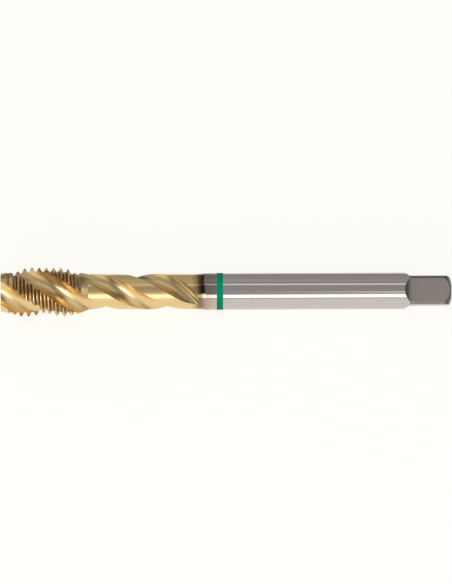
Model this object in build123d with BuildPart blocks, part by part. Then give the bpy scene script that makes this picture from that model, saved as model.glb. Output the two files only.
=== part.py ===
from build123d import *
import os
from math import atan, ceil, degrees, radians, tan

# One-piece M12 x 1.75 machine tap with a reduced shank and three right-hand spiral flutes.
# It is built standing on its tip along +Z, then laid down with the tip towards -X and the
# square towards +X. Angles about the axis start at the middle of one flat of the square.

# ---- profile along the axis, in millimetres ----
overall_length = 110.0
major_radius = 6.0
shank_radius = 4.5
neck_radius = 4.32
tip_radius = 4.7
lead_length = 4.8
full_thread_end = 14.8
thread_back_end = 21.3
neck_end = 49.0
shoulder_length = 0.9
end_round_radial = 3.0
end_round_axial = 1.7

# ---- cutting thread ----
pitch = 1.75
thread_depth = 1.0
crest_flat = 0.2
flank_angle = 30.0
groove_overrun = 0.1
first_groove = 0.16
turns_per_cut = 2

# ---- spiral flutes ----
flute_count = 3
flute_lead = 44.93
flute_start_angle = 6.5
flute_width_angle = 70.0
rake_angle = 12.0
rake_face_depth = 0.8
hook_radius = 2.0
hook_turn = 27.0
heel_closing_angle = 1.9
run_out_length = 7.1
run_out_radius = 8.7
cutter_overrun = 0.7
turn_per_section = 15.0

# ---- drive square ----
across_flats = 7.0
square_length = 10.3
ramp_run = 1.25
ramp_fillet = 0.9
cutter_margin = 1.0

# ---- centre holes ----
centre_angle = 60.0
tip_centre_radius = 1.6
tip_pilot_radius = 0.75
shank_centre_radius = 1.3
shank_pilot_radius = 0.65
pilot_length = 3.0

# ---- how it lies on a flat surface ----
facing_flat_elevation = 50.0
last_crest_setback = 3.0

os.makedirs("parts", exist_ok=True)

# The turned and ground bar: lead taper, thread body, neck, shoulder, shank and rounded end.
back_drop = major_radius - neck_radius
back_run = thread_back_end - full_thread_end
back_radius = (back_run**2 + back_drop**2) / (2 * back_drop)
end_round_radius = (end_round_radial**2 + end_round_axial**2) / (2 * end_round_axial)
with BuildPart() as blank:
    with BuildSketch(Plane.XZ):
        with BuildLine():
            body = Polyline(
                (0, 0),
                (tip_radius, 0),
                (major_radius, lead_length),
                (major_radius, full_thread_end),
            )
            thread_back = RadiusArc(body @ 1, (neck_radius, thread_back_end), -back_radius)
            shank = Polyline(
                thread_back @ 1,
                (neck_radius, neck_end),
                (shank_radius, neck_end + shoulder_length),
                (shank_radius, overall_length - end_round_axial),
            )
            end_round = RadiusArc(
                shank @ 1,
                (shank_radius - end_round_radial, overall_length),
                -end_round_radius,
            )
            Polyline(end_round @ 1, (0, overall_length), (0, 0))
        make_face()
    revolve(axis=Axis.Z)

# A stretch of the right-hand helical V that lies between the crests. It starts two pitches
# below the tip, and one cut follows another up to the back of the thread.
root_radius = major_radius - thread_depth
flank_slope = tan(radians(flank_angle))
root_half_width = (pitch - crest_flat) / 2 - thread_depth * flank_slope
groove_depth = thread_depth + groove_overrun
mouth_half_width = root_half_width + groove_depth * flank_slope
groove_start = first_groove - 2 * pitch
cut_height = turns_per_cut * pitch
cut_count = ceil((thread_back_end - groove_start) / cut_height)
with BuildPart() as groove:
    with BuildLine():
        groove_path = Helix(pitch, cut_height, root_radius, center=(0, 0, groove_start))
    with BuildSketch(Plane(origin=groove_path @ 0, x_dir=(1, 0, 0), z_dir=groove_path % 0)):
        with BuildLine():
            Polyline(
                (0, -root_half_width),
                (groove_depth, -mouth_half_width),
                (groove_depth, mouth_half_width),
                (0, root_half_width),
                close=True,
            )
        make_face()
    sweep(path=groove_path, is_frenet=True)

# One flute as a loft of its cross-section: cutting face, hook, hollow back. Each section is
# turned by the lead, and the last ones move outwards along the path of the leaving wheel.
flute_half_angle = flute_width_angle / 2
cutting_edge = Vector(major_radius, 0).rotate(Axis.Z, flute_half_angle)
face_direction = Vector(1, 0).rotate(Axis.Z, flute_half_angle - rake_angle)
face_top = cutting_edge + face_direction * cutter_overrun
face_bottom = cutting_edge - face_direction * rake_face_depth
cutter_radius = major_radius + cutter_overrun
heel_top = Vector(cutter_radius, 0).rotate(Axis.Z, heel_closing_angle - flute_half_angle)
flute_bottom_end = neck_end + shoulder_length
run_out_start = flute_bottom_end - run_out_length
flute_top_start = -flute_lead * turn_per_section / 360
section_count = ceil((flute_bottom_end - flute_top_start) / -flute_top_start)
with BuildPart() as flute:
    for section in range(section_count + 1):
        height = flute_top_start + (flute_bottom_end - flute_top_start) * section / section_count
        outwards = Vector(1, 0).rotate(Axis.Z, flute_start_angle + 360 * height / flute_lead)
        lift = max(0, height - run_out_start) ** 2 / (2 * run_out_radius)
        section_origin = outwards * lift + Vector(0, 0, height)
        with BuildSketch(Plane(origin=section_origin, x_dir=outwards, z_dir=(0, 0, 1))):
            with BuildLine():
                face = Line(face_top, face_bottom)
                hook = JernArc(face @ 1, face % 1, hook_radius, hook_turn)
                back = TangentArc(hook @ 1, heel_top, tangent=hook % 1)
                ThreePointArc(back @ 1, (cutter_radius + cutter_overrun, 0), face @ 0)
            make_face()
    loft()

# What is milled off to leave one flat of the square, with the ramp that rises to the shank.
flat_start = overall_length - square_length
flat_depth = shank_radius - across_flats / 2
ramp_reach = across_flats / 2 + flat_depth + cutter_margin
with BuildPart() as flat_cut:
    with BuildSketch(Plane.XZ):
        with BuildLine():
            Polyline(
                (across_flats / 2, overall_length + cutter_margin),
                (across_flats / 2, flat_start),
                (ramp_reach, flat_start - ramp_run * (ramp_reach - across_flats / 2) / flat_depth),
                (ramp_reach, overall_length + cutter_margin),
                close=True,
            )
        ramp_face = make_face()
        fillet(ramp_face.vertices().sort_by_distance((across_flats / 2, flat_start))[0], ramp_fillet)
    extrude(amount=shank_radius + cutter_margin, both=True)

# The finished tap, standing on its tip.
with BuildPart() as standing_tap:
    add(blank.part)
    with PolarLocations(0, flute_count):
        add(flute.part, mode=Mode.SUBTRACT)
    for cut in range(cut_count):
        with Locations((0, 0, cut * cut_height)):
            add(groove.part, mode=Mode.SUBTRACT)
    with PolarLocations(0, 4):
        add(flat_cut.part, mode=Mode.SUBTRACT)
    with Locations(Location((0, 0, 0), (180, 0, 0))):
        CounterSinkHole(tip_pilot_radius, tip_centre_radius, pilot_length, centre_angle)
    with Locations((0, 0, overall_length)):
        CounterSinkHole(shank_pilot_radius, shank_centre_radius, pilot_length, centre_angle)

# Laid down: the tip points to -X, and the crests and the shank's end touch the surface,
# so the thinner end hangs a little lower. The origin is under the middle of the length.
lying_roll = 270 - facing_flat_elevation
last_touching_crest = full_thread_end - last_crest_setback
contact_span = overall_length - end_round_axial - last_touching_crest
lying_tilt = degrees(atan((major_radius - shank_radius) / contact_span))
along_axis = Vector(1, 0, 0).rotate(Axis.Y, lying_tilt)
square_to_axis = Vector(0, 0, 1).rotate(Axis.Y, lying_tilt)
tip_height = major_radius * square_to_axis.Z - last_touching_crest * along_axis.Z
tip_place = (-along_axis.X * overall_length / 2, 0, tip_height)
with BuildPart() as thread_tap:
    with Locations(Location(tip_place, (0, lying_tilt, 0))):
        add(standing_tap.part, rotation=(lying_roll, 90, 0))

thread_tap.part.label = "thread_tap"
export_step(thread_tap.part, "parts/thread_tap.step")
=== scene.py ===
from math import atan, atan2, cos, hypot, pi, radians, sin, tan

import bpy
from mathutils import Matrix, Vector


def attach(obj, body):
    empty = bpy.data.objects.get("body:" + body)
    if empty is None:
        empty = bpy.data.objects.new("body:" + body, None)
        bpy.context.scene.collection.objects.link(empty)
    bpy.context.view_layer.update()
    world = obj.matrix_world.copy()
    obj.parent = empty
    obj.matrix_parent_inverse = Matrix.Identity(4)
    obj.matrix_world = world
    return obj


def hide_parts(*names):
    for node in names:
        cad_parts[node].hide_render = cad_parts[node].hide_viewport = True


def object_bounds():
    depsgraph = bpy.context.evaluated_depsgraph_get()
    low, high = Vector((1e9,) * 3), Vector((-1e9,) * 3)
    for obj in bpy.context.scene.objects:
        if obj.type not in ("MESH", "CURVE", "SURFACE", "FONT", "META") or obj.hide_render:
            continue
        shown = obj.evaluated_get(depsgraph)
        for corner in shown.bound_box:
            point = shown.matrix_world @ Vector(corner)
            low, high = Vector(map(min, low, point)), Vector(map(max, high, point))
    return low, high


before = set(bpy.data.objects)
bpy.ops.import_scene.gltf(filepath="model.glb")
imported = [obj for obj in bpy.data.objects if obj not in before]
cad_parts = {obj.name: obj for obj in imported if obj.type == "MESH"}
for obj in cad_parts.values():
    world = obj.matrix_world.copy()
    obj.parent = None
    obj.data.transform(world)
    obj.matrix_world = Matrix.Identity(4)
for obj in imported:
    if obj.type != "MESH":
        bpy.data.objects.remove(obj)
cad_low, cad_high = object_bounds()

MM = 0.001

# ---- the tap's own sizes, in millimetres from its cutting tip ----
OVERALL_LENGTH = 110.0
CREST_RADIUS = 6.0
BOX_CLEARANCE = 0.005  # the thread and tip are this much thinner than the solid
MAJOR_RADIUS = CREST_RADIUS - BOX_CLEARANCE
TIP_RADIUS = 4.7 - BOX_CLEARANCE
NECK_RADIUS = 4.32
SHANK_RADIUS = 4.5
LEAD_LENGTH = 4.8
FULL_THREAD_END = 14.8
THREAD_BACK_END = 21.3
NECK_END = 49.0
SHOULDER_LENGTH = 0.9
END_ROUND_RADIAL = 3.0
END_ROUND_AXIAL = 1.7
RING_START = 52.65
RING_END = 54.2

# ---- cutting thread ----
PITCH = 1.75
THREAD_DEPTH = 1.0
CREST_FLAT = 0.2
FLANK_ANGLE = 30.0
GROOVE_OVERRUN = 0.1
FIRST_GROOVE = 0.16

# ---- spiral flutes ----
FLUTE_COUNT = 3
FLUTE_LEAD = 44.93
FLUTE_START_ANGLE = 6.5
FLUTE_OVERRUN_ANGLE = 15.0
FLUTE_WIDTH_ANGLE = 70.0
RAKE_ANGLE = 12.0
RAKE_FACE_DEPTH = 0.8
HOOK_RADIUS = 2.0
HOOK_TURN = 27.0
HEEL_CLOSING_ANGLE = 1.9
RUN_OUT_LENGTH = 7.1
RUN_OUT_RADIUS = 8.7
CUTTER_OVERRUN = 0.7

# ---- drive square and centre holes ----
FLAT_COUNT = 4
ACROSS_FLATS = 7.0
SQUARE_LENGTH = 10.3
RAMP_RUN = 1.25
RAMP_FILLET = 0.9
CUTTER_MARGIN = 1.0
CENTRE_HALF_ANGLE = 30.0
TIP_CENTRE_RADIUS = 1.6
TIP_PILOT_RADIUS = 0.75
SHANK_CENTRE_RADIUS = 1.3
SHANK_PILOT_RADIUS = 0.65
PILOT_LENGTH = 3.0
MOUTH_OVERRUN = 0.3

# ---- how it lies ----
FACING_FLAT_ELEVATION = 50.0
LAST_CREST_SETBACK = 3.0

# ---- how finely the round shapes are divided ----
ROUND_STEPS = 240
THREAD_STEPS_PER_TURN = 96
FLUTE_STEP = 0.4
ARC_STEPS = 12
BACK_STEPS = 24
HOOK_STEPS = 6
FILLET_STEPS = 8
EDGE_LOOP = 0.15
SMOOTH_ANGLE = 24.0

# ---- points closer than this become one, in metres ----
OUTLINE_MERGE = 1e-7
DOUBLES_MERGE = 1e-8

# ---- how the faces are told apart, by place in millimetres and by parts of a unit normal ----
RING_MARGIN = 0.01
RAMP_MARGIN = 0.05
RAMP_HEIGHT = 1.0
SHANK_MARGIN = 0.03
THREAD_ROOT_LOW = 4.9
THREAD_ROOT_HIGH = 5.06
SIDEWAYS = 0.9
RAMP_UPWARDS = 0.2
SQUARE_ON = 0.9995
FLANK_LEAST, FLANK_MOST = 0.6, 0.95
ROOT_LEVEL = 0.99
ROOT_OUTWARDS = 0.98
COAT, PAINT, FLAT, CORNER, THREAD = range(5)

# ---- ground marks, and the floor's gap in millimetres and size in metres ----
MARK_DEPTH = 0.02
FLOOR_GAP = 0.02
FLOOR_SIZE = 24.0

# ---- light: 1 is white ----
FLOOR_GLOW = 0.81
WORLD_GREY = 0.11

# ---- the view: angles in degrees, camera distances in metres ----
CAMERA_BELOW_FLAT = 3.5
CAMERA_ELEVATION = FACING_FLAT_ELEVATION - CAMERA_BELOW_FLAT
SENSOR_WIDTH = 36.0
CLIP_START, CLIP_END = 0.05, 100.0
CAMERA_DISTANCE = 1.2
IMAGE_RISE = 0.2
PIXELS_PER_MM = 4.095
FRAME_WIDTH, FRAME_HEIGHT = 452, 584
MIDDLE_PIXEL = (226.25, 291.35)


def lying_placement():
    """The move that lays the standing tap down, tip to -X on its crests and shank end. Also
    gives the place of the tip and the tilt of the axis."""
    last_touching_crest = FULL_THREAD_END - LAST_CREST_SETBACK
    contact_span = OVERALL_LENGTH - END_ROUND_AXIAL - last_touching_crest
    tilt = atan((CREST_RADIUS - SHANK_RADIUS) / contact_span)
    tip = MM * Vector((
        -cos(tilt) * OVERALL_LENGTH / 2,
        0.0,
        CREST_RADIUS * cos(tilt) + last_touching_crest * sin(tilt),
    ))
    roll = Matrix.Rotation(radians(270.0 - FACING_FLAT_ELEVATION), 4, "X")
    lay_down = Matrix.Rotation(pi / 2, 4, "Y")
    placement = Matrix.Translation(tip) @ Matrix.Rotation(tilt, 4, "Y") @ roll @ lay_down
    return placement, tip, tilt


PLACEMENT, TIP, TILT = lying_placement()


# ---- modelling steps, all in edit mode on the object that is being shaped ----

def start_point(name, place):
    """A new object that holds one point, in edit mode."""
    bpy.ops.object.select_all(action="DESELECT")
    bpy.ops.mesh.primitive_plane_add(size=MM)
    made = bpy.context.object
    made.name = name
    bpy.ops.object.mode_set(mode="EDIT")
    bpy.ops.mesh.select_mode(type="VERT")
    bpy.ops.mesh.select_all(action="SELECT")
    bpy.ops.mesh.merge(type="CENTER")
    bpy.ops.transform.translate(value=Vector(place) * MM)
    return made


def start_disc(name, radius, height):
    """A new filled circle across Z, in edit mode."""
    bpy.ops.object.select_all(action="DESELECT")
    bpy.ops.mesh.primitive_circle_add(
        vertices=ROUND_STEPS, radius=radius * MM, fill_type="NGON", location=(0, 0, height * MM))
    made = bpy.context.object
    made.name = name
    bpy.ops.object.transform_apply(location=True, rotation=True, scale=True)
    bpy.ops.object.mode_set(mode="EDIT")
    bpy.ops.mesh.select_all(action="SELECT")
    return made


def draw_line(start, end):
    """A straight edge on from the selected point."""
    bpy.ops.mesh.extrude_region_move(
        TRANSFORM_OT_translate={"value": (Vector(end) - Vector(start)) * MM})


def draw_arc(steps, angle, centre, axis=(0, 0, 1)):
    """An arc on from the selected point, right-handed about axis. With no window the spin
    operator turns the other way, so its angle is negated."""
    bpy.ops.mesh.spin(steps=steps, angle=-angle, center=Vector(centre) * MM, axis=axis)


def follow_outline(outline):
    """Carries the selected disc up through (height, radius) pairs, the first of which it has."""
    for (low, before), (high, after) in zip(outline, outline[1:]):
        bpy.ops.mesh.extrude_region_move(
            TRANSFORM_OT_translate={"value": (0, 0, (high - low) * MM)})
        bpy.ops.transform.resize(
            value=(after / before, after / before, 1.0), center_override=(0, 0, high * MM))


def close_face():
    """Joins the outline's two ends and fills it."""
    bpy.ops.mesh.select_all(action="SELECT")
    bpy.ops.mesh.remove_doubles(threshold=OUTLINE_MERGE)
    bpy.ops.mesh.select_all(action="SELECT")
    bpy.ops.mesh.edge_face_add()


def finish_edit(made):
    """Leaves edit mode with doubles merged and every face pointing outwards."""
    bpy.ops.mesh.select_all(action="SELECT")
    bpy.ops.mesh.remove_doubles(threshold=DOUBLES_MERGE)
    bpy.ops.mesh.normals_make_consistent(inside=False)
    bpy.ops.object.mode_set(mode="OBJECT")
    return made


def cut_away(body, cutter):
    """Cuts one shape out of the body and removes the cutter."""
    bpy.ops.object.select_all(action="DESELECT")
    body.select_set(True)
    bpy.context.view_layer.objects.active = body
    cut = body.modifiers.new("cut", "BOOLEAN")
    cut.operation = "DIFFERENCE"
    cut.solver = "MANIFOLD"
    cut.object = cutter
    bpy.ops.object.modifier_apply(modifier=cut.name)
    bpy.data.objects.remove(cutter)


def turned_copy(source, angle):
    """A copy of a cutter, turned about the tap's axis."""
    made = source.copy()
    made.data = source.data.copy()
    bpy.context.scene.collection.objects.link(made)
    made.data.transform(Matrix.Rotation(angle, 4, "Z"))
    return made


# ---- the turned bar and its cutters, standing on the tip along +Z ----

def thread_back_outline():
    """The hollow arc from the full thread down to the neck, as (height, radius) pairs."""
    drop = MAJOR_RADIUS - NECK_RADIUS
    run = THREAD_BACK_END - FULL_THREAD_END
    radius = (run**2 + drop**2) / (2 * drop)
    heights = [FULL_THREAD_END + run * (step + 1) / ARC_STEPS for step in range(ARC_STEPS)]
    return [
        (height, MAJOR_RADIUS - radius + (radius**2 - (height - FULL_THREAD_END) ** 2) ** 0.5)
        for height in heights
    ]


def end_round_outline():
    """The rounded shank end, from the shank's diameter to the flat middle of the end face."""
    radius = (END_ROUND_RADIAL**2 + END_ROUND_AXIAL**2) / (2 * END_ROUND_AXIAL)
    centre = OVERALL_LENGTH - radius
    first = atan2(OVERALL_LENGTH - END_ROUND_AXIAL - centre, END_ROUND_RADIAL)
    angles = [first + (pi / 2 - first) * (step + 1) / ARC_STEPS for step in range(ARC_STEPS)]
    flat_radius = SHANK_RADIUS - END_ROUND_RADIAL
    return [
        (centre + radius * sin(angle), flat_radius + radius * cos(angle))
        for angle in angles
    ]


def turned_bar():
    """The bar from tip to end. Narrow faces beside the shoulder keep its edges crisp."""
    outline = [
        (0.0, TIP_RADIUS),
        (LEAD_LENGTH, MAJOR_RADIUS),
        (FULL_THREAD_END, MAJOR_RADIUS),
        *thread_back_outline(),
        (NECK_END - EDGE_LOOP, NECK_RADIUS),
        (NECK_END, NECK_RADIUS),
        (NECK_END + SHOULDER_LENGTH, SHANK_RADIUS),
        (NECK_END + SHOULDER_LENGTH + EDGE_LOOP, SHANK_RADIUS),
        (RING_START, SHANK_RADIUS),
        (RING_END, SHANK_RADIUS),
        (OVERALL_LENGTH - SQUARE_LENGTH, SHANK_RADIUS),
        (OVERALL_LENGTH - END_ROUND_AXIAL, SHANK_RADIUS),
        *end_round_outline(),
    ]
    bar = start_disc("thread_tap_body", TIP_RADIUS, 0.0)
    follow_outline(outline)
    return finish_edit(bar)


def flute_cutter():
    """The space that one spiral flute takes: cutting face, hook and hollow back, turned by the
    lead and lifted out of the bar where the grinding wheel leaves it."""
    half = radians(FLUTE_WIDTH_ANGLE / 2)
    edge = Vector((cos(half), sin(half), 0)) * MAJOR_RADIUS
    inwards = -Vector((cos(half - radians(RAKE_ANGLE)), sin(half - radians(RAKE_ANGLE)), 0))
    face_top = edge - inwards * CUTTER_OVERRUN
    face_bottom = edge + inwards * RAKE_FACE_DEPTH
    left = Matrix.Rotation(pi / 2, 3, "Z")
    hook_centre = face_bottom + (left @ inwards) * HOOK_RADIUS
    hook_spin = Matrix.Rotation(radians(HOOK_TURN), 3, "Z")
    hook_end = hook_centre + hook_spin @ (face_bottom - hook_centre)
    hook_tangent = hook_spin @ inwards
    outer = MAJOR_RADIUS + CUTTER_OVERRUN
    heel_angle = radians(HEEL_CLOSING_ANGLE) - half
    heel_top = Vector((cos(heel_angle), sin(heel_angle), 0)) * outer
    chord = heel_top - hook_end
    to_centre = left @ hook_tangent
    back_radius = chord.length_squared / (2 * chord.dot(to_centre))
    back_centre = hook_end + to_centre * back_radius
    start, end = hook_end - back_centre, heel_top - back_centre
    back_turn = (atan2(end.y, end.x) - atan2(start.y, start.x)) % (2 * pi)

    flute_start = -FLUTE_LEAD * FLUTE_OVERRUN_ANGLE / 360.0
    flute_end = NECK_END + SHOULDER_LENGTH
    run_out_start = flute_end - RUN_OUT_LENGTH
    lift = Vector((0, 0, flute_start)) * MM
    first_turn = Matrix.Rotation(
        radians(FLUTE_START_ANGLE + 360.0 * flute_start / FLUTE_LEAD), 4, "Z")

    cutter = start_point("flute_cutter", face_top)
    draw_line(face_top, face_bottom)
    draw_arc(HOOK_STEPS, radians(HOOK_TURN), hook_centre)
    draw_arc(BACK_STEPS, back_turn, back_centre)
    draw_line(heel_top, (outer + CUTTER_OVERRUN, 0, 0))
    draw_line((outer + CUTTER_OVERRUN, 0, 0), face_top)
    close_face()
    bpy.ops.object.mode_set(mode="OBJECT")
    cutter.data.transform(Matrix.Translation(lift) @ first_turn)
    bpy.ops.object.mode_set(mode="EDIT")
    bpy.ops.mesh.select_all(action="SELECT")

    steps = round((flute_end - flute_start) / FLUTE_STEP)
    rise = (flute_end - flute_start) / steps
    turn = 2 * pi * rise / FLUTE_LEAD
    for step in range(steps):
        low, high = flute_start + rise * step, flute_start + rise * (step + 1)
        leaving = [
            max(0.0, height - run_out_start) ** 2 / (2 * RUN_OUT_RADIUS) for height in (low, high)
        ]
        angle = radians(FLUTE_START_ANGLE) + 2 * pi * high / FLUTE_LEAD
        outwards = Vector((cos(angle), sin(angle), 0)) * (leaving[1] - leaving[0])
        bpy.ops.mesh.extrude_region_move(
            TRANSFORM_OT_translate={"value": (0, 0, rise * MM)})
        bpy.ops.transform.rotate(value=-turn, orient_axis="Z", center_override=(0, 0, 0))
        if leaving[1] > 0:
            bpy.ops.transform.translate(value=outwards * MM)
    return finish_edit(cutter)


def thread_cutter():
    """The right-hand helical V between the crests."""
    root = MAJOR_RADIUS - THREAD_DEPTH
    slope = tan(radians(FLANK_ANGLE))
    root_half = (PITCH - CREST_FLAT) / 2 - THREAD_DEPTH * slope
    depth = THREAD_DEPTH + GROOVE_OVERRUN
    mouth_half = root_half + depth * slope
    base = FIRST_GROOVE - 2 * PITCH
    corners = [
        (root, 0, base - root_half),
        (root + depth, 0, base - mouth_half),
        (root + depth, 0, base + mouth_half),
        (root, 0, base + root_half),
    ]
    turns = 2 * round((THREAD_BACK_END - base) / (2 * PITCH) + 0.5)
    cutter = start_point("thread_cutter", corners[0])
    for before, after in zip(corners, corners[1:] + corners[:1]):
        draw_line(before, after)
    close_face()
    steps = turns * THREAD_STEPS_PER_TURN
    for _ in range(steps):
        bpy.ops.mesh.extrude_region_move(
            TRANSFORM_OT_translate={"value": (0, 0, PITCH / THREAD_STEPS_PER_TURN * MM)})
        bpy.ops.transform.rotate(
            value=-2 * pi / THREAD_STEPS_PER_TURN, orient_axis="Z", center_override=(0, 0, 0))
    return finish_edit(cutter)


def flat_cutter():
    """What is milled off to leave one flat of the square, with the ramp up to the shank."""
    flat = ACROSS_FLATS / 2
    flat_start = OVERALL_LENGTH - SQUARE_LENGTH
    depth = SHANK_RADIUS - flat
    reach = flat + depth + CUTTER_MARGIN
    ramp_low = flat_start - RAMP_RUN * (reach - flat) / depth
    ramp_angle = atan2(RAMP_RUN, depth)
    tangent = RAMP_FILLET * tan((pi / 2 - ramp_angle) / 2)
    side = SHANK_RADIUS + CUTTER_MARGIN
    top = OVERALL_LENGTH + CUTTER_MARGIN
    fillet_start = Vector((flat, -side, flat_start + tangent))
    along_ramp = Vector((sin(pi / 2 - ramp_angle), 0, -cos(pi / 2 - ramp_angle)))
    fillet_end = Vector((flat, -side, flat_start)) + along_ramp * tangent
    centre = fillet_start + Vector((RAMP_FILLET, 0, 0))

    cutter = start_point("flat_cutter", (flat, -side, top))
    draw_line((flat, -side, top), fillet_start)
    draw_arc(FILLET_STEPS, -(pi / 2 - ramp_angle), centre, axis=(0, 1, 0))
    draw_line(fillet_end, (reach, -side, ramp_low))
    draw_line((reach, -side, ramp_low), (reach, -side, top))
    draw_line((reach, -side, top), (flat, -side, top))
    close_face()
    bpy.ops.mesh.extrude_region_move(TRANSFORM_OT_translate={"value": (0, 2 * side * MM, 0)})
    return finish_edit(cutter)


def centre_hole_cutter(face, inwards, mouth, pilot):
    """A 60 degree centre hole with its pilot. inwards is +1 at the tip and -1 at the end."""
    slope = tan(radians(CENTRE_HALF_ANGLE))
    outline = [
        (face - inwards * MOUTH_OVERRUN, mouth + MOUTH_OVERRUN * slope),
        (face + inwards * (mouth - pilot) / slope, pilot),
        (face + inwards * PILOT_LENGTH, pilot),
    ]
    cutter = start_disc("centre_hole_cutter", outline[0][1], outline[0][0])
    follow_outline(outline)
    return finish_edit(cutter)


def tap_body():
    """The bar with its flutes, thread, square and centre holes cut, standing on its tip."""
    bar = turned_bar()
    flute = flute_cutter()
    for number in range(FLUTE_COUNT):
        cut_away(bar, turned_copy(flute, 2 * pi * number / FLUTE_COUNT))
    bpy.data.objects.remove(flute)
    cut_away(bar, thread_cutter())
    flat = flat_cutter()
    for number in range(FLAT_COUNT):
        cut_away(bar, turned_copy(flat, 2 * pi * number / FLAT_COUNT))
    bpy.data.objects.remove(flat)
    cut_away(bar, centre_hole_cutter(0.0, 1, TIP_CENTRE_RADIUS, TIP_PILOT_RADIUS))
    cut_away(bar, centre_hole_cutter(
        OVERALL_LENGTH, -1, SHANK_CENTRE_RADIUS, SHANK_PILOT_RADIUS))
    return bar


# ---- finishes ----

def new_material(name):
    """An empty material, with its nodes and links."""
    made = bpy.data.materials.new(name)
    made.use_nodes = True
    made.node_tree.nodes.clear()
    return made, made.node_tree.nodes, made.node_tree.links


def add_node(nodes, kind, **settings):
    """A new node with these settings."""
    made = nodes.new(kind)
    for name, value in settings.items():
        setattr(made, name, value)
    return made


def tap_coordinates(nodes, links):
    """Millimetres along the tap's own axis in X, and across it in Y and Z: as one vector, and
    split in three."""
    place = nodes.new("ShaderNodeTexCoord")
    mapping = add_node(nodes, "ShaderNodeMapping", vector_type="TEXTURE")
    mapping.inputs["Location"].default_value = TIP
    mapping.inputs["Rotation"].default_value = (0, TILT, 0)
    mapping.inputs["Scale"].default_value = (MM, MM, MM)
    links.new(place.outputs["Object"], mapping.inputs["Vector"])
    split = nodes.new("ShaderNodeSeparateXYZ")
    links.new(mapping.outputs["Vector"], split.inputs["Vector"])
    return mapping.outputs["Vector"], split


def ramp(nodes, links, source, stops, low, high):
    """A colour for each place along source, from (place, colour) pairs."""
    spread = nodes.new("ShaderNodeMapRange")
    spread.inputs["From Min"].default_value = low
    spread.inputs["From Max"].default_value = high
    links.new(source, spread.inputs["Value"])
    colours = nodes.new("ShaderNodeValToRGB")
    elements = colours.color_ramp.elements
    while len(elements) < len(stops):
        elements.new(0.5)
    for element, (place, colour) in zip(elements, stops):
        element.position = (place - low) / (high - low)
        element.color = (*colour, 1.0)
    links.new(spread.outputs["Result"], colours.inputs["Fac"])
    return colours.outputs["Color"]


def grinding_bump(nodes, links, vector, stretch, strength):
    """Fine lines left by grinding, as noise that is stretched along the wheel's path: gives the
    normal, and the noise itself."""
    scale = nodes.new("ShaderNodeVectorMath")
    scale.operation = "MULTIPLY"
    scale.inputs[1].default_value = stretch
    links.new(vector, scale.inputs[0])
    noise = nodes.new("ShaderNodeTexNoise")
    noise.inputs["Scale"].default_value = 1.0
    noise.inputs["Detail"].default_value = 3.0
    links.new(scale.outputs["Vector"], noise.inputs["Vector"])
    bump = nodes.new("ShaderNodeBump")
    bump.inputs["Strength"].default_value = strength
    bump.inputs["Distance"].default_value = MARK_DEPTH * MM
    links.new(noise.outputs["Fac"], bump.inputs["Height"])
    return bump.outputs["Normal"], noise.outputs["Fac"]


def cover_surface(nodes, links, shader):
    """Puts a shader on the material's surface."""
    out = nodes.new("ShaderNodeOutputMaterial")
    links.new(shader.outputs["BSDF"], out.inputs["Surface"])


def ground_metal(nodes, links, colour, normal, roughness):
    """Metal with ground marks, on the material's surface. Gives its roughness socket back."""
    shader = nodes.new("ShaderNodeBsdfPrincipled")
    shader.inputs["Metallic"].default_value = 1.0
    shader.inputs["Roughness"].default_value = roughness
    links.new(colour, shader.inputs["Base Color"])
    links.new(normal, shader.inputs["Normal"])
    cover_surface(nodes, links, shader)
    return shader.inputs["Roughness"]


def coated_steel():
    """Gold nitride coat on the thread and neck, which fades through brown into the bare ground
    shank. On the top side the fade and the shank up to the ring are painted darker, down to
    black: painted shade."""
    made, nodes, links = new_material("gold_coat_and_ground_steel")
    vector, axis = tap_coordinates(nodes, links)
    gold = (0.82, 0.595, 0.295)
    steel = (0.575, 0.525, 0.50)
    change_start, change_end = 44.0, 56.0
    top_shade_start, top_shade_end = 2.5, 2.85
    coat_end, steel_start = 46.0, 49.8
    coat_roughness, steel_roughness = 0.28, 0.11
    # The upper colours are painted shade: the coat's fade painted darker on the top side, down to
    # black, and the shank painted darker on top up to the ring.
    shaded_top_fade = ramp(nodes, links, axis.outputs["X"], [
        (46.4, gold),
        (47.6, (0.52, 0.37, 0.17)),
        (48.35, (0.17, 0.12, 0.06)),
        (48.9, (0.05, 0.032, 0.016)),
        (49.5, (0.06, 0.042, 0.025)),
        (49.85, (0.30, 0.26, 0.215)),
        (52.6, (0.36, 0.31, 0.27)),
        (54.3, steel),
    ], change_start, change_end)
    # The lower colours are the coat's fade without the painted shade.
    lower = ramp(nodes, links, axis.outputs["X"], [
        (46.4, gold),
        (47.4, (0.57, 0.40, 0.19)),
        (48.35, (0.25, 0.175, 0.087)),
        (49.1, (0.29, 0.21, 0.145)),
        (49.8, (0.44, 0.33, 0.265)),
        (51.3, (0.55, 0.43, 0.345)),
        (52.6, (0.55, 0.48, 0.42)),
        (54.3, steel),
    ], change_start, change_end)
    # Mixes from the lower colours into the painted shade of the top side, over a small height
    # across the tap.
    side = nodes.new("ShaderNodeMapRange")
    side.inputs["From Min"].default_value = top_shade_start
    side.inputs["From Max"].default_value = top_shade_end
    links.new(axis.outputs["Z"], side.inputs["Value"])
    # Inputs 6 and 7 are the two colours, and output 2 is their mix.
    top_shade_mix = add_node(nodes, "ShaderNodeMix", data_type="RGBA")
    links.new(side.outputs["Result"], top_shade_mix.inputs["Factor"])
    links.new(lower, top_shade_mix.inputs[6])
    links.new(shaded_top_fade, top_shade_mix.inputs[7])
    normal = grinding_bump(nodes, links, vector, (9.0, 0.5, 0.5), 0.25)[0]
    roughness = nodes.new("ShaderNodeMapRange")
    roughness.inputs["From Min"].default_value = coat_end
    roughness.inputs["From Max"].default_value = steel_start
    roughness.inputs["To Min"].default_value = coat_roughness
    roughness.inputs["To Max"].default_value = steel_roughness
    links.new(axis.outputs["X"], roughness.inputs["Value"])
    rough_socket = ground_metal(nodes, links, top_shade_mix.outputs[2], normal, coat_roughness)
    links.new(roughness.outputs["Result"], rough_socket)
    return made


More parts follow.
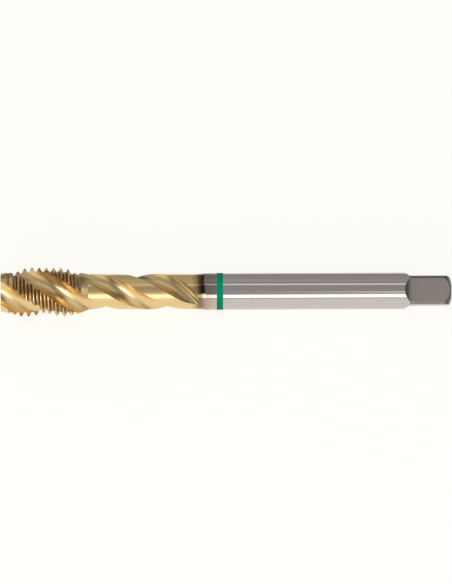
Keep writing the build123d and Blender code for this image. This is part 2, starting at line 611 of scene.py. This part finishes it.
def green_paint():
    """The thin painted ring."""
    made, nodes, links = new_material("green_ring_paint")
    vector = tap_coordinates(nodes, links)[0]
    noise = nodes.new("ShaderNodeTexNoise")
    noise.inputs["Scale"].default_value = 1.6
    noise.inputs["Detail"].default_value = 2.0
    links.new(vector, noise.inputs["Vector"])
    colour = ramp(nodes, links, noise.outputs["Fac"], [
        (0.3, (0.0014, 0.38, 0.205)),
        (0.7, (0.0017, 0.45, 0.245)),
    ], 0.0, 1.0)
    shader = nodes.new("ShaderNodeBsdfPrincipled")
    shader.inputs["Roughness"].default_value = 0.62
    shader.inputs["Specular IOR Level"].default_value = 0.06
    links.new(colour, shader.inputs["Base Color"])
    cover_surface(nodes, links, shader)
    return made


def milled_flats():
    """The four flats of the square, ground straight across, so the marks cross the axis."""
    made, nodes, links = new_material("cross_ground_flats")
    vector, axis = tap_coordinates(nodes, links)
    normal = grinding_bump(nodes, links, vector, (5.0, 0.12, 0.12), 0.5)[0]
    broad = add_node(nodes, "ShaderNodeTexNoise", noise_dimensions="1D")
    broad.inputs["Scale"].default_value = 0.55
    broad.inputs["Detail"].default_value = 1.5
    links.new(axis.outputs["X"], broad.inputs["W"])
    colour = ramp(nodes, links, broad.outputs["Fac"], [
        (0.3, (0.485, 0.47, 0.41)),
        (0.5, (0.535, 0.47, 0.43)),
        (0.7, (0.56, 0.455, 0.405)),
    ], 0.0, 1.0)
    ground_metal(nodes, links, colour, normal, 0.32)
    return made


def turned_corners():
    """The square's ramps and rounded corners and the end of the tap: duller and darker than the
    shank, and darkest on the rounded end."""
    made, nodes, links = new_material("dull_turned_corners")
    vector, axis = tap_coordinates(nodes, links)
    normal, fine = grinding_bump(nodes, links, vector, (7.0, 0.8, 0.8), 0.6)
    streaks = ramp(nodes, links, fine, [
        (0.3, (0.24, 0.21, 0.20)),
        (0.7, (0.32, 0.275, 0.255)),
    ], 0.0, 1.0)
    end_round_start = OVERALL_LENGTH - END_ROUND_AXIAL
    end_shade = ramp(nodes, links, axis.outputs["X"], [
        (end_round_start - 0.1, (1.0, 1.0, 1.0)),
        (end_round_start + 0.1, (0.36, 0.36, 0.36)),
    ], OVERALL_LENGTH - 10.0, OVERALL_LENGTH)
    darker_end = add_node(nodes, "ShaderNodeVectorMath", operation="MULTIPLY")
    links.new(streaks, darker_end.inputs[0])
    links.new(end_shade, darker_end.inputs[1])
    ground_metal(nodes, links, darker_end.outputs["Vector"], normal, 0.3)
    return made


def shaded_thread_coat():
    """The coat on the thread's flanks and roots, painted browner and darker than on the crests:
    painted shade in the grooves.
    """
    made, nodes, links = new_material("painted_shade_in_the_thread")
    vector = tap_coordinates(nodes, links)[0]
    normal, fine = grinding_bump(nodes, links, vector, (1.5, 2.5, 2.5), 0.4)
    # Dark browns for the thread's grooves, as painted shade.
    colour = ramp(nodes, links, fine, [
        (0.3, (0.40, 0.25, 0.10)),
        (0.7, (0.54, 0.36, 0.16)),
    ], 0.0, 1.0)
    ground_metal(nodes, links, colour, normal, 0.36)
    return made


def on_ring(centre, normal):
    """Whether a face is part of the shank's side between the ring's two edges."""
    low, high = (RING_START - RING_MARGIN) * MM, (RING_END + RING_MARGIN) * MM
    return low < centre.z < high and hypot(normal.x, normal.y) > SIDEWAYS


def inside_square(centre):
    """Whether a face lies on the square or its ramps and within the shank's round."""
    ramp_start = (OVERALL_LENGTH - SQUARE_LENGTH - RAMP_RUN - RAMP_MARGIN) * MM
    reach = max(abs(centre.x), abs(centre.y))
    return centre.z > ramp_start and reach < (SHANK_RADIUS - SHANK_MARGIN) * MM


def on_ramp(centre, normal):
    """Whether a face turns up towards the end and lies at the foot of the square."""
    ramp_top = (OVERALL_LENGTH - SQUARE_LENGTH + RAMP_HEIGHT) * MM
    return normal.z > RAMP_UPWARDS and centre.z < ramp_top


def in_thread(centre, normal):
    """Whether a face is a flank or the root of the thread."""
    radius = hypot(centre.x, centre.y)
    if centre.z >= THREAD_BACK_END * MM or radius <= THREAD_ROOT_LOW * MM:
        return False
    flank = FLANK_LEAST < abs(normal.z) < FLANK_MOST
    faces_out = normal.x * centre.x + normal.y * centre.y > ROOT_OUTWARDS * radius
    level = hypot(normal.x, normal.y) > ROOT_LEVEL
    return flank or radius < THREAD_ROOT_HIGH * MM and level and faces_out


def finish_of(centre, normal):
    """The finish that a face gets, by its place and the way it looks on the standing tap."""
    if on_ring(centre, normal):
        return PAINT
    if inside_square(centre) and max(abs(normal.x), abs(normal.y)) > SQUARE_ON:
        return FLAT
    if centre.z > (OVERALL_LENGTH - SQUARE_LENGTH) * MM:
        return CORNER
    if inside_square(centre) and on_ramp(centre, normal):
        return CORNER
    if in_thread(centre, normal):
        return THREAD
    return COAT


def give_finishes(body):
    """Gives every face its finish. It runs while the tap still stands on its tip, and the
    materials are in the order of COAT, PAINT, FLAT, CORNER and THREAD."""
    body.data.materials.clear()
    for finish in (
            coated_steel(), green_paint(), milled_flats(), turned_corners(), shaded_thread_coat()):
        body.data.materials.append(finish)
    for face in body.data.polygons:
        face.material_index = finish_of(face.center, face.normal)


def smooth_and_place(body):
    """Lays the finished tap down and smooths its round faces."""
    bpy.ops.object.select_all(action="DESELECT")
    body.select_set(True)
    bpy.context.view_layer.objects.active = body
    body.data.transform(PLACEMENT)
    body.data.update()
    bpy.ops.object.shade_smooth_by_angle(angle=radians(SMOOTH_ANGLE))


# ---- floor, light and camera ----

def pale_floor():
    """A floor that takes the shadow. Its glow is only for rays that see, reflect or refract it,
    so it lights nothing."""
    bpy.ops.object.select_all(action="DESELECT")
    bpy.ops.mesh.primitive_plane_add(
        size=FLOOR_SIZE, location=(0, 0, cad_low.z - FLOOR_GAP * MM))
    floor = bpy.context.object
    floor.name = "pale_floor"
    made, nodes, links = new_material("pale_floor_card")
    diffuse = nodes.new("ShaderNodeBsdfDiffuse")
    diffuse.inputs["Color"].default_value = (0.4, 0.4, 0.39, 1.0)
    glow = nodes.new("ShaderNodeEmission")
    glow.inputs["Color"].default_value = (1.0, 0.99, 0.95, 1.0)
    rays = nodes.new("ShaderNodeLightPath")
    seen = add_node(nodes, "ShaderNodeMath", operation="MAXIMUM")
    links.new(rays.outputs["Is Camera Ray"], seen.inputs[0])
    links.new(rays.outputs["Is Glossy Ray"], seen.inputs[1])
    seen_or_through = add_node(nodes, "ShaderNodeMath", operation="MAXIMUM")
    links.new(seen.outputs["Value"], seen_or_through.inputs[0])
    links.new(rays.outputs["Is Transmission Ray"], seen_or_through.inputs[1])
    strength = add_node(nodes, "ShaderNodeMath", operation="MULTIPLY")
    strength.inputs[1].default_value = FLOOR_GLOW
    links.new(seen_or_through.outputs["Value"], strength.inputs[0])
    links.new(strength.outputs["Value"], glow.inputs["Strength"])
    both = nodes.new("ShaderNodeAddShader")
    links.new(diffuse.outputs["BSDF"], both.inputs[0])
    links.new(glow.outputs["Emission"], both.inputs[1])
    out = nodes.new("ShaderNodeOutputMaterial")
    links.new(both.outputs["Shader"], out.inputs["Surface"])
    floor.data.materials.append(made)


def soft_panel(name, azimuths, elevations, radiance, colour=(1.0, 1.0, 1.0)):
    """A flat soft light one metre away that fills these azimuths and elevations, in degrees,
    seen from the tap. Azimuth 0 is in front of the tap and positive to the right; elevation 0 is
    level, 90 is straight above and more than 90 is behind."""
    azimuth, elevation = (radians(sum(pair) / 2) for pair in (azimuths, elevations))
    width, height = (
        2 * tan(radians(pair[1] - pair[0]) / 2) for pair in (azimuths, elevations))
    light = bpy.data.lights.new(name, "AREA")
    light.shape = "RECTANGLE"
    light.size = width
    light.size_y = height
    light.energy = radiance * pi * width * height
    light.color = colour
    made = bpy.data.objects.new(name, light)
    made.rotation_mode = "QUATERNION"
    turn = Matrix.Rotation(azimuth, 3, "Z") @ Matrix.Rotation(pi / 2 - elevation, 3, "X")
    made.rotation_quaternion = turn.to_quaternion()
    made.location = turn @ Vector((0, 0, 1))
    made.visible_camera = False
    bpy.context.scene.collection.objects.link(made)


def studio_light():
    """Twelve soft panels round the tap in a dim room."""
    soft_panel("front_strip", (-9, 9), (4.5, 25.5), 2.1)
    soft_panel("front_left_strip", (-29, -9), (2, 32), 3.1, (0.95, 1.0, 1.08))
    soft_panel("front_right_wall", (9, 35), (5, 45), 0.65)
    soft_panel("right_near_wall", (35, 70), (10, 50), 0.65)
    soft_panel("right_wall", (70, 115), (15, 50), 0.3)
    soft_panel("left_wall", (-90, -60), (1, 42), 0.85)
    soft_panel("left_back_wall", (-130, -90), (20, 46), 0.39)
    soft_panel("left_high_wall", (-130, -62), (46, 80), 0.27)
    soft_panel("back_left_wall", (-170, -130), (30, 75), 0.09)
    soft_panel("overhead_strip", (-20, 9), (86.0, 95.5), 0.95)
    soft_panel("camera_side_fill", (-9, 9), (26.0, 86.0), 0.32)
    soft_panel("back_fill", (-20, 20), (96.5, 172.0), 0.3)
    world = bpy.data.worlds.new("dim_room")
    world.use_nodes = True
    background = world.node_tree.nodes["Background"]
    background.inputs["Color"].default_value = (0.99, 1.0, 1.0, 1.0)
    background.inputs["Strength"].default_value = WORLD_GREY
    bpy.context.scene.world = world


def camera_view():
    """Looks along +Y and down, with the tap's axis rising a little to the right in the frame."""
    elevation = radians(CAMERA_ELEVATION)
    axis = Vector((cos(TILT), 0, -sin(TILT)))
    level_up = Vector((0, sin(elevation), cos(elevation)))
    level_right = Vector((1, 0, 0))
    towards = Vector((0, -cos(elevation), sin(elevation)))
    bank = radians(IMAGE_RISE) - atan2(axis.dot(level_up), axis.dot(level_right))
    right = level_right * cos(bank) - level_up * sin(bank)
    up = level_right * sin(bank) + level_up * cos(bank)
    middle = TIP + axis * (OVERALL_LENGTH / 2 * MM)
    offset_x = (MIDDLE_PIXEL[0] - FRAME_WIDTH / 2) / PIXELS_PER_MM * MM
    offset_y = (FRAME_HEIGHT / 2 - MIDDLE_PIXEL[1]) / PIXELS_PER_MM * MM
    aim = middle - right * offset_x - up * offset_y
    camera = bpy.data.cameras.new("camera")
    camera.sensor_width = SENSOR_WIDTH
    camera.lens = SENSOR_WIDTH * CAMERA_DISTANCE / (FRAME_HEIGHT / PIXELS_PER_MM * MM)
    camera.clip_start = CLIP_START
    camera.clip_end = CLIP_END
    made = bpy.data.objects.new("camera", camera)
    turn = Matrix((right, up, towards)).transposed().to_4x4()
    made.matrix_world = Matrix.Translation(aim + towards * CAMERA_DISTANCE) @ turn
    bpy.context.scene.collection.objects.link(made)
    bpy.context.scene.camera = made


tap = tap_body()
give_finishes(tap)
smooth_and_place(tap)
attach(tap, "root")
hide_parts("thread_tap")

pale_floor()
studio_light()
camera_view()
bpy.context.scene.view_settings.view_transform = "Standard"
